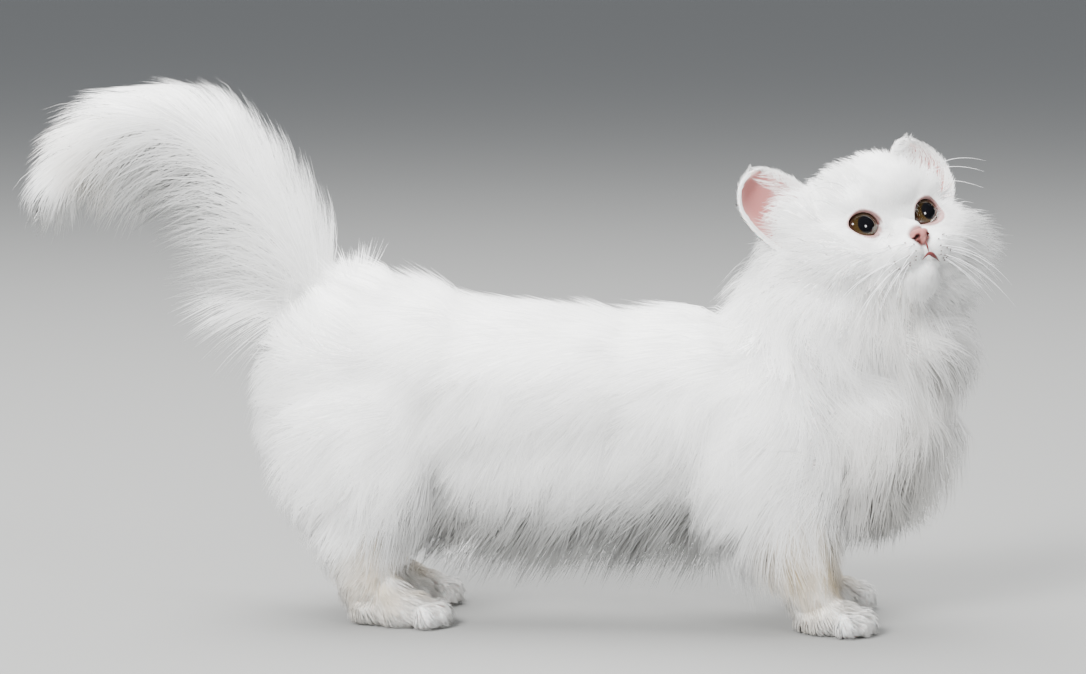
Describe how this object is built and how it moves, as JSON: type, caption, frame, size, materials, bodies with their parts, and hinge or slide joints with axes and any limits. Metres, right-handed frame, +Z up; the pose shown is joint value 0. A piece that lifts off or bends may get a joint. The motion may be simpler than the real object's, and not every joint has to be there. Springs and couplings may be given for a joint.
{
  "type": "cat",
  "caption": "Standing long-haired short-legged cat, head turned to its right and up, tail raised and curled back, as a still life-size model.",
  "frame": {"origin": "on the floor under the middle of the box around the cat", "axes": "+X towards the cat's chest, +Y to its left, +Z up"},
  "size_m": [0.5116, 0.1342, 0.2854],
  "materials": {
    "coat": "soft",
    "skin": "satin",
    "eye": "gloss"
  },
  "bodies": {
    "root": {"torso": "coat", "neck": "coat", "head": "coat", "nose": "skin", "eye_left": "eye", "eye_right": "eye", "ear_left": "coat", "ear_right": "coat", "tail_base": "coat", "tail_middle": "coat", "tail_tip": "coat", "front_leg_left": "coat", "front_leg_right": "coat", "front_paw_left": "coat", "front_paw_right": "coat", "hind_leg_left": "coat", "hind_leg_right": "coat", "hind_paw_left": "coat", "hind_paw_right": "coat"}
  },
  "joints": []
}
